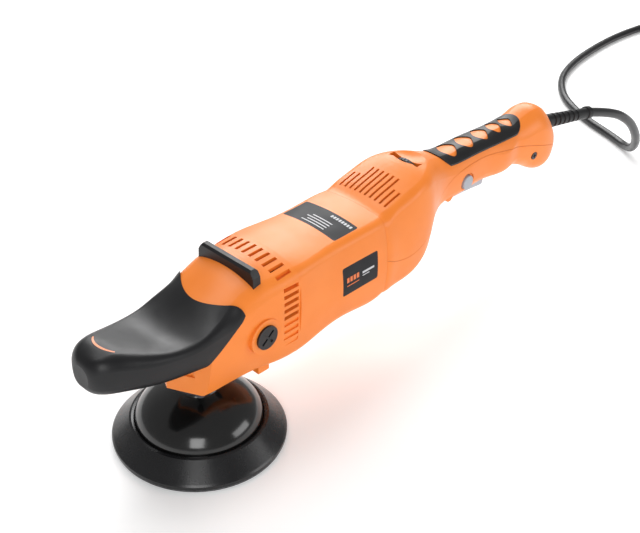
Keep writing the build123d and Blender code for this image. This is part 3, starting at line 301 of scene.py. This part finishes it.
# ------------------------------------------------------------------ dome of the backing plate
DOME_TOP = Vector((0.0147, 0.0450, 0))  # radius and height where the dome meets the neck
DOME_FLARE = Vector((0.0155, 0.0405, 0))
DOME_SHOULDER = Vector((0.0425, 0.0365, 0))
DOME_EDGE = Vector((0.0458, 0.0177, 0))  # on the pad's ridge
DOME_INSIDE = [(0.0452, 0.0168), (0.0452, 0.0080), (0.0415, 0.0080), (0.0415, 0.0170), (0.0385, 0.0230),
               (0.0310, 0.0296), (0.0230, 0.0330), (0.0180, 0.0330), (0.0180, 0.0200), (0.0121, 0.0200),
               (0.0121, 0.0372), (0.0147, 0.0372)]
DOME_PROFILE_POINTS = 28
DOME_STEPS = 128
SHARP_FROM = radians(35)


def make_dome():
    """Glossy dome turned round the spindle: flared at the neck, full at the shoulder."""
    outside = interpolate_bezier(DOME_TOP, DOME_FLARE, DOME_SHOULDER, DOME_EDGE, DOME_PROFILE_POINTS)
    profile = [(spot.x, spot.y) for spot in outside] + DOME_INSIDE
    shape = bmesh.new()
    rings = []
    for step in range(DOME_STEPS):
        turn = 2 * pi * step / DOME_STEPS
        rings.append([shape.verts.new((r * cos(turn), r * sin(turn), z)) for r, z in profile])
    for ring, following in zip(rings, rings[1:] + rings[:1]):
        for k in range(len(profile)):
            after = (k + 1) % len(profile)
            shape.faces.new((ring[k], following[k], following[after], ring[after]))
    bmesh.ops.recalc_face_normals(shape, faces=shape.faces)
    mesh = bpy.data.meshes.new("dome")
    shape.to_mesh(mesh)
    shape.free()
    mesh.shade_smooth()
    mesh.set_sharp_from_angle(angle=SHARP_FROM)
    dome = link("dome", mesh)
    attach(dome, "spindle")
    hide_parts("plate_dome")
    dress(dome, MATERIALS["gloss_black"])


def make_spring():
    """Trigger's spring, which the trigger presses against its head."""
    spring = link("spring", frame["nodes"]["trigger_spring"].data.copy())
    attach(spring, "housing")
    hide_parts("trigger_spring")
    dress(spring, MATERIALS["steel"])
    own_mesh(spring)


# ------------------------------------------------------------------ room and light
FLOOR_HALF = 8
FLOOR_GLOW = 0.16  # keeps the shadows pale
WORLD_STRENGTH = 0.36
# Name, place, aim, width, height, watts
LIGHTS = [
    ("back", (1.15, 0.95, 0.95), (0.15, 0, 0.1), 1.3, 0.8, 21),
    ("overhead", (0.0, 0.45, 1.4), (0.1, 0, 0.1), 1.0, 0.5, 7),
    ("front", (-1.0, -1.0, 0.75), (0.1, 0, 0.08), 0.6, 0.9, 9),
    ("side", (0.9, -1.2, 0.5), (0.2, 0, 0.08), 0.9, 0.5, 5),
]


def area_light(name, at, aim, width, height, power):
    """Soft box turned towards a point."""
    data = bpy.data.lights.new(name, "AREA")
    data.shape = "RECTANGLE"
    data.size = width
    data.size_y = height
    data.energy = power
    light = link(name, data)
    light.location = at
    light.rotation_euler = (Vector(aim) - Vector(at)).to_track_quat("-Z", "Y").to_euler()


def make_room():
    """White floor, white surroundings and four soft lights."""
    mesh = bpy.data.meshes.new("floor")
    shape = bmesh.new()
    bmesh.ops.create_grid(shape, x_segments=1, y_segments=1, size=FLOOR_HALF)
    shape.to_mesh(mesh)
    shape.free()
    floor = link("floor", mesh)
    material, tree, shader, where = start_material("floor")
    tint(tree, shader, noise(tree, where, 2), (0.94, 0.94, 0.94), (0.96, 0.96, 0.96))
    shader.inputs["Roughness"].default_value = 0.9
    shader.inputs["Emission Color"].default_value = (1, 1, 1, 1)
    shader.inputs["Emission Strength"].default_value = FLOOR_GLOW
    mesh.materials.append(material)
    world = bpy.data.worlds.new("world")
    world.use_nodes = True
    sky = world.node_tree.nodes["Background"]
    sky.inputs["Color"].default_value = (1, 1, 1, 1)
    sky.inputs["Strength"].default_value = WORLD_STRENGTH
    bpy.context.scene.world = world
    for light in LIGHTS:
        area_light(*light)


# ------------------------------------------------------------------ print on the labels
PRINT_LIFT = 0.00012
PRINT_THICKNESS = 0.0001
PRINT_STEPS = 6  # pieces along a patch, so that it follows a curved label
RAY_START = 0.2  # metres out from the spindle axis, past every label
# Top label: thin lines across it, and a row of small blocks
LINES = 4
LINE_X, LINE_PITCH, LINE_WIDTH = 0.1105, 0.0030, 0.0009
LINE_FROM, LINE_TO, LINE_SHORTER = -0.012, 0.010, 0.003
BLOCKS = 8
BLOCK_X = (0.1265, 0.1292)
BLOCK_Y, BLOCK_PITCH, BLOCK_LONG = -0.0235, 0.0026, 0.0017
# Side labels: four upright bars over a rule, and two white bars beside them
BARS = 4
BAR_X, BAR_PITCH, BAR_WIDTH = 0.1105, 0.0034, 0.0024
BAR_Z = (0.0945, 0.0985)
RULE = ((0.1105, 0.0915), (0.1231, 0.0922))
WHITE_BARS = [((0.1268, 0.0955), (0.1392, 0.0972)), ((0.1268, 0.0935), (0.1340, 0.0942))]


def lay_patches(name, node_name, patches, aim, material):
    """Thin raised patches of print that follow a label's surface. A patch is two corners on its face."""
    node = frame["nodes"][node_name]
    mesh = bpy.data.meshes.new(name)
    shape = bmesh.new()
    for (u0, v0), (u1, v1) in patches:
        rows = []
        for side in (u0, u1):
            row = []
            for step in range(PRINT_STEPS + 1):
                v = v0 + (v1 - v0) * step / PRINT_STEPS
                start = Vector((side, v, RAY_START)) if aim.z else Vector((side, -RAY_START * aim.y, v))
                hit, at, _, _ = node.ray_cast(start, aim)
                if hit:
                    row.append(shape.verts.new(at - aim * PRINT_LIFT))
            rows.append(row)
        for step in range(min(len(rows[0]), len(rows[1])) - 1):
            shape.faces.new((rows[0][step], rows[1][step], rows[1][step + 1], rows[0][step + 1]))
    bmesh.ops.recalc_face_normals(shape, faces=shape.faces)
    shape.to_mesh(mesh)
    shape.free()
    print_piece = link(name, mesh)
    thick = print_piece.modifiers.new("thick", "SOLIDIFY")
    thick.thickness = PRINT_THICKNESS
    thick.offset = 0
    dress(print_piece, material)
    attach(print_piece, "housing")


def print_labels():
    """Generic rows of bars: no words."""
    top = []
    for line in range(LINES):
        x = LINE_X + LINE_PITCH * line
        top.append(((x, LINE_FROM), (x + LINE_WIDTH, LINE_TO - LINE_SHORTER * (line % 2))))
    for block in range(BLOCKS):
        y = BLOCK_Y + BLOCK_PITCH * block
        top.append(((BLOCK_X[0], y), (BLOCK_X[1], y + BLOCK_LONG)))
    lay_patches("top_print", "top_label", top, Vector((0, 0, -1)), EXTRA["print_white"])
    orange = []
    for bar in range(BARS):
        x = BAR_X + BAR_PITCH * bar
        orange.append(((x, BAR_Z[0]), (x + BAR_WIDTH, BAR_Z[1])))
    orange.append(RULE)
    for side, word in ((-1, "near"), (1, "far")):
        aim = Vector((0, -side, 0))
        lay_patches("print_orange_" + word, "side_labels", orange, aim, EXTRA["print_orange"])
        lay_patches("print_white_" + word, "side_labels", WHITE_BARS, aim, EXTRA["print_white"])


# ------------------------------------------------------------------ scene
place_camera()
lead = make_lead()
dress(lead, MATERIALS["cord_rubber"])
dress_frame()
make_dome()
make_spring()
print_labels()
make_room()
bpy.context.scene.view_settings.view_transform = "Standard"
